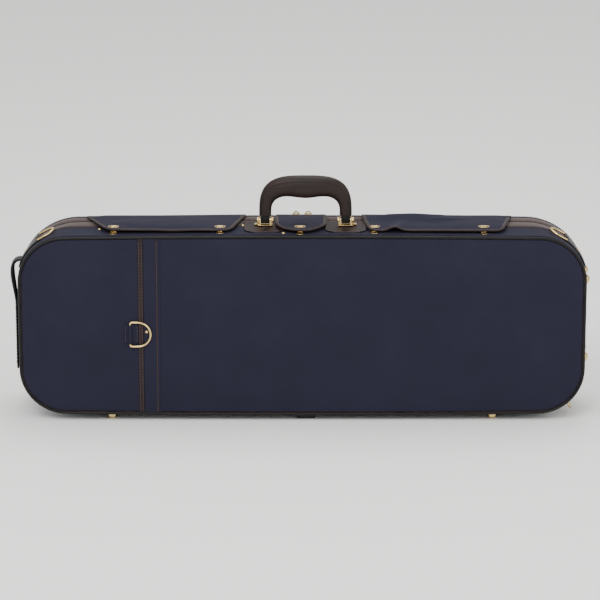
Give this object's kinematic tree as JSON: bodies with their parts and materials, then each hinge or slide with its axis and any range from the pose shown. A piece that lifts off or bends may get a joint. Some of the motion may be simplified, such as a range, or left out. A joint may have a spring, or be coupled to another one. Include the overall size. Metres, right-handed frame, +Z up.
{
  "type": "violin case",
  "caption": "Oblong zip-around violin case with rounded corners, carrying handle, turn-lock flaps, strap rings and a padded, shaped interior.",
  "frame": {"origin": "on the floor under the middle of the case, as it stands upright on its spine feet", "axes": "+Z up, towards the carrying handle; X along the case; -Y out of the base shell's outer face, +Y out of the lid"},
  "size_m": [0.8082, 0.1372, 0.3444],
  "materials": {
    "shell_board": "laminated board",
    "navy_cloth": "woven canvas",
    "piping_leather": "satin",
    "grip_leather": "pebbled",
    "brown_leather": "satin",
    "zip_tape": "woven tape",
    "zip_teeth": "satin",
    "brass": "polished",
    "steel_pin": "plain",
    "rubber": "matt",
    "velvet": "velvet"
  },
  "bodies": {
    "base": {"base_shell": "shell_board", "base_face_cover": "navy_cloth", "base_side_cover": "navy_cloth", "base_piping": "piping_leather", "base_zip_tape": "zip_tape", "base_zip_teeth": "zip_teeth", "base_lining": "velvet", "cushions": "velvet", "face_strip": "navy_cloth", "strip_edging": "brown_leather", "strip_chape": "navy_cloth", "rivets": "brass", "strap_tabs": "piping_leather", "end_handle": "piping_leather", "base_feet": "brass", "centre_foot": "rubber", "handle_patches": "brown_leather", "handle_brackets": "brass", "handle_pins": "steel_pin", "lock_plates": "brass", "base_hinge_leaves": "brass", "hinge_pins": "steel_pin"},
    "lid": {"lid_shell": "shell_board", "lid_cover": "navy_cloth", "lid_piping": "piping_leather", "lid_lining": "velvet", "lid_zip_tape": "zip_tape", "lid_zip_teeth": "zip_teeth", "lid_hinge_leaves": "brass", "lid_feet": "brass", "pocket_zip": "zip_teeth", "bow_loops": "velvet", "flap_roots": "brown_leather"},
    "handle": {"handle_grip": "grip_leather", "handle_ends": "piping_leather"},
    "button_1": {"turn_button_1": "brass"},
    "button_2": {"turn_button_2": "brass"},
    "button_3": {"turn_button_3": "brass"},
    "button_4": {"turn_button_4": "brass"},
    "button_5": {"turn_button_5": "brass"},
    "flap_left": {"flap_left": "navy_cloth", "flap_edging_left": "brown_leather", "eyelets_left": "brass"},
    "flap_middle": {"flap_middle": "navy_cloth", "flap_edging_middle": "brown_leather", "eyelets_middle": "brass"},
    "flap_right": {"flap_right": "navy_cloth", "flap_edging_right": "brown_leather", "eyelets_right": "brass"},
    "strap_ring_left": {"strap_ring_left": "brass"},
    "strap_ring_right": {"strap_ring_right": "brass"},
    "face_ring": {"face_ring": "brass"},
    "corner_ring": {"corner_ring": "brass"},
    "zip_slider_left": {"zip_slider_left": "brass"},
    "zip_slider_right": {"zip_slider_right": "brass"},
    "pocket_slider_left": {"pocket_slider_left": "brass"},
    "pocket_slider_right": {"pocket_slider_right": "brass"},
    "accessory_lid": {"accessory_lid": "velvet"},
    "bow_spinner_upper": {"bow_spinner_upper": "brown_leather"},
    "bow_spinner_lower": {"bow_spinner_lower": "brown_leather"}
  },
  "joints": [
    {"name": "lid_hinge", "type": "hinge", "parent": "base", "child": "lid", "pos_m": [0, 0.0055, 0.003], "axis": [-1, 0, 0], "range_deg": [0, 100]},
    {"name": "handle_pivot", "type": "hinge", "parent": "base", "child": "handle", "pos_m": [0.0045, -0.0215, 0.28036], "axis": [1, 0, 0], "range_deg": [-70, 80]},
    {"name": "button_1_turn", "type": "hinge", "parent": "base", "child": "button_1", "pos_m": [-0.262, -0.0395, 0.274], "axis": [0, 0, 1], "range_deg": [0, 90]},
    {"name": "button_2_turn", "type": "hinge", "parent": "base", "child": "button_2", "pos_m": [-0.114, -0.0395, 0.274], "axis": [0, 0, 1], "range_deg": [0, 90]},
    {"name": "button_3_turn", "type": "hinge", "parent": "base", "child": "button_3", "pos_m": [-0.003, -0.0395, 0.274], "axis": [0, 0, 1], "range_deg": [0, 90]},
    {"name": "button_4_turn", "type": "hinge", "parent": "base", "child": "button_4", "pos_m": [0.1, -0.0395, 0.274], "axis": [0, 0, 1], "range_deg": [0, 90]},
    {"name": "button_5_turn", "type": "hinge", "parent": "base", "child": "button_5", "pos_m": [0.252, -0.0395, 0.274], "axis": [0, 0, 1], "range_deg": [0, 90]},
    {"name": "flap_left_hinge", "type": "hinge", "parent": "lid", "child": "flap_left", "pos_m": [-0.19, 0.0185, 0.2762], "axis": [-1, 0, 0], "range_deg": [-1, 110]},
    {"name": "flap_middle_hinge", "type": "hinge", "parent": "lid", "child": "flap_middle", "pos_m": [-0.002, 0.0185, 0.2762], "axis": [-1, 0, 0], "range_deg": [-1, 35]},
    {"name": "flap_right_hinge", "type": "hinge", "parent": "lid", "child": "flap_right", "pos_m": [0.19, 0.0185, 0.2762], "axis": [-1, 0, 0], "range_deg": [-1, 110]},
    {"name": "strap_ring_left_swing", "type": "hinge", "parent": "base", "child": "strap_ring_left", "pos_m": [-0.3675, -0.0305, 0.25819], "axis": [0, -1, 0], "range_deg": [0, 150]},
    {"name": "strap_ring_right_swing", "type": "hinge", "parent": "base", "child": "strap_ring_right", "pos_m": [0.3675, -0.0305, 0.25819], "axis": [0, 1, 0], "range_deg": [0, 150]},
    {"name": "face_ring_swing", "type": "hinge", "parent": "base", "child": "face_ring", "pos_m": [-0.2395, -0.0687, 0.128], "axis": [0, 0, -1], "range_deg": [0, 150]},
    {"name": "corner_ring_swing", "type": "hinge", "parent": "base", "child": "corner_ring", "pos_m": [0.37189, -0.0305, 0.02324], "axis": [0, -1, 0], "range_deg": [-40, 80]},
    {"name": "zip_slider_left_run", "type": "slide", "parent": "base", "child": "zip_slider_left", "axis": [-1, 0, 0], "range_m": [0, 0.27]},
    {"name": "zip_slider_right_run", "type": "slide", "parent": "base", "child": "zip_slider_right", "axis": [1, 0, 0], "range_m": [0, 0.27]},
    {"name": "pocket_slider_left_run", "type": "slide", "parent": "lid", "child": "pocket_slider_left", "axis": [-1, 0, 0], "range_m": [0, 0.28]},
    {"name": "pocket_slider_right_run", "type": "slide", "parent": "lid", "child": "pocket_slider_right", "axis": [1, 0, 0], "range_m": [0, 0.28]},
    {"name": "accessory_lid_hinge", "type": "hinge", "parent": "base", "child": "accessory_lid", "pos_m": [-0.31, 0.0015, 0.01587], "axis": [-1, 0, 0], "range_deg": [0, 80]},
    {"name": "bow_spinner_upper_turn", "type": "hinge", "parent": "lid", "child": "bow_spinner_upper", "pos_m": [-0.29, 0.05, 0.199], "axis": [0, 1, 0], "range_deg": [0, 90]},
    {"name": "bow_spinner_lower_turn", "type": "hinge", "parent": "lid", "child": "bow_spinner_lower", "pos_m": [-0.29, 0.05, 0.079], "axis": [0, 1, 0], "range_deg": [0, 90]}
  ],
  "couplings": [
    {"joint": "accessory_lid_hinge", "follows": "lid_hinge", "ratio": 0.8}
  ]
}
